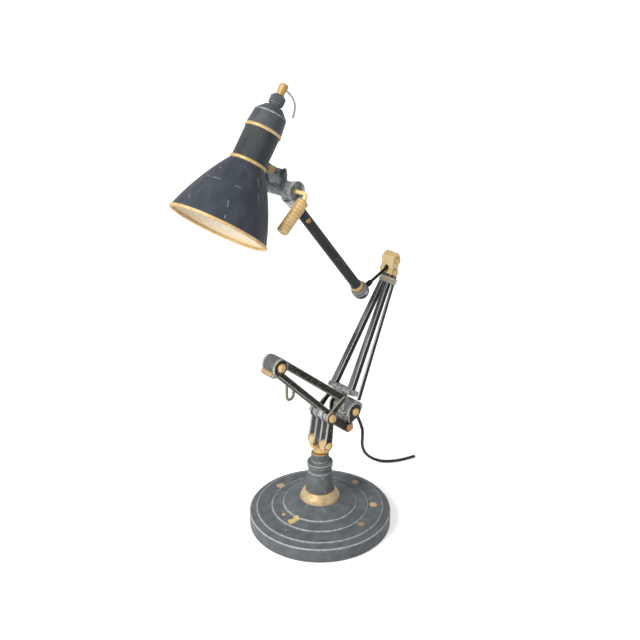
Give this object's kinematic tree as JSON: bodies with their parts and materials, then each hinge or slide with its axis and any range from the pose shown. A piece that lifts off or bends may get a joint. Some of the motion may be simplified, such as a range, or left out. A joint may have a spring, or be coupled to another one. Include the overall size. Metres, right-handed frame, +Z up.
{
  "type": "desk lamp",
  "caption": "Balanced desk lamp with a round cast base, swivelling cradle, counterweighted lower arm, short link, upper tube and a tilting bell shade.",
  "frame": {"origin": "centre of the felt foot, on the desk, under the pillar", "axes": "+Z up the pillar, -X towards the shade at rest, -Y towards the crank and grip"},
  "size_m": [0.4823, 0.22, 0.6993],
  "materials": {
    "dark_paint": "worn satin",
    "black_steel": "worn black",
    "grey_casting": "rough cast",
    "brass": "dull",
    "pale_steel": "satin",
    "bronze_bush": "machined",
    "felt": "matted wool",
    "phenolic": "moulded",
    "bulb_glass": "frosted",
    "rubber": "matt",
    "cord_braid": "braided sleeve",
    "pull_twine": "twisted"
  },
  "bodies": {
    "base": {"base_casting": "dark_paint", "felt_pad": "felt", "pillar": "dark_paint", "brass_collar": "brass", "base_nut": "pale_steel", "pillar_bush": "bronze_bush"},
    "swivel": {"yoke": "brass", "yoke_bolts": "brass", "cradle_plate_inner_near": "black_steel", "cradle_plate_inner_far": "black_steel", "cradle_plate_outer_near": "dark_paint", "cradle_plate_outer_far": "dark_paint", "main_pivot_bolt": "brass", "pivot_spacers": "pale_steel", "rear_bracket": "grey_casting", "rear_ear_near": "dark_paint", "rear_ear_far": "dark_paint", "rear_bolt": "brass", "ear_bolts": "brass", "cord_gland": "rubber", "mains_cord": "cord_braid"},
    "lower_arm": {"lower_strap_near": "black_steel", "lower_strap_far": "black_steel", "upper_strap_near": "black_steel", "upper_strap_far": "black_steel", "corner_struts": "black_steel", "counterweight": "dark_paint", "weight_bolt": "brass", "wire_eye": "pale_steel", "elbow_casting": "grey_casting", "rod_near_front": "black_steel", "rod_near_rear": "black_steel", "rod_far_front": "black_steel", "rod_clamp": "pale_steel", "knuckle_near": "brass", "knuckle_far": "brass", "knuckle_bolts": "brass"},
    "link": {"link_rod": "black_steel", "link_boot": "black_steel"},
    "tube": {"tube_cap": "grey_casting", "cap_pin": "pale_steel", "tube_ring": "brass", "arm_tube": "black_steel", "tube_collar": "pale_steel"},
    "head_swivel": {"head_barrel": "grey_casting"},
    "wing_screw": {"wing_screw": "black_steel"},
    "head": {"head_bracket": "dark_paint", "shade": "dark_paint", "shade_rim": "brass", "neck_sleeve": "dark_paint", "neck_rings": "brass", "socket_cap": "dark_paint", "lampholder": "phenolic", "bulb": "bulb_glass", "switch_plug": "brass"},
    "crank": {"crank_rod": "brass"},
    "grip": {"grip": "brass"},
    "trim_roller": {"trim_roller": "brass"},
    "pull_cord": {"pull_cord": "pull_twine"}
  },
  "joints": [
    {"name": "swivel", "type": "hinge", "parent": "base", "child": "swivel", "pos_m": [0, 0, 0.1278], "axis": [0, 0, 1], "range_deg": [-160, 160]},
    {"name": "lower_arm_tilt", "type": "hinge", "parent": "swivel", "child": "lower_arm", "pos_m": [0.006, 0, 0.1905], "axis": [0, -1, 0], "range_deg": [-13, 33]},
    {"name": "link_tilt", "type": "hinge", "parent": "lower_arm", "child": "link", "pos_m": [0.14364, 0, 0.3946], "axis": [0, -1, 0], "range_deg": [-12, 12]},
    {"name": "tube_tilt", "type": "hinge", "parent": "link", "child": "tube", "pos_m": [0.08225, 0, 0.3698], "axis": [0, -1, 0], "range_deg": [-18, 18]},
    {"name": "head_swivel", "type": "hinge", "parent": "tube", "child": "head_swivel", "pos_m": [-0.06797, 0, 0.56208], "axis": [-0.6157, 0, 0.788], "range_deg": [-60, 60]},
    {"name": "head_tilt", "type": "hinge", "parent": "head_swivel", "child": "head", "pos_m": [-0.06797, 0, 0.56208], "axis": [0.0467, -0.9982, 0.0365], "range_deg": [-35, 40]},
    {"name": "crank_turn", "type": "hinge", "parent": "head", "child": "crank", "pos_m": [-0.06797, 0, 0.56208], "axis": [0.0467, -0.9982, 0.0365], "range_deg": [0, 60]},
    {"name": "grip_spin", "type": "hinge", "parent": "crank", "child": "grip", "pos_m": [-0.07438, -0.04857, 0.55707], "axis": [-0.7866, -0.0593, -0.6146], "continuous": true},
    {"name": "wing_turn", "type": "hinge", "parent": "head_swivel", "child": "wing_screw", "pos_m": [-0.07154, 0.00057, 0.58226], "axis": [0.0467, -0.9982, 0.0365], "range_deg": [0, 180]},
    {"name": "roller_spin", "type": "hinge", "parent": "lower_arm", "child": "trim_roller", "pos_m": [-0.09827, 0, 0.29663], "axis": [0, -1, 0], "continuous": true},
    {"name": "pull", "type": "slide", "parent": "head", "child": "pull_cord", "axis": [0.7866, 0.0142, -0.6173], "range_m": [0, 0.006], "stiffness_N_per_m": 150}
  ]
}
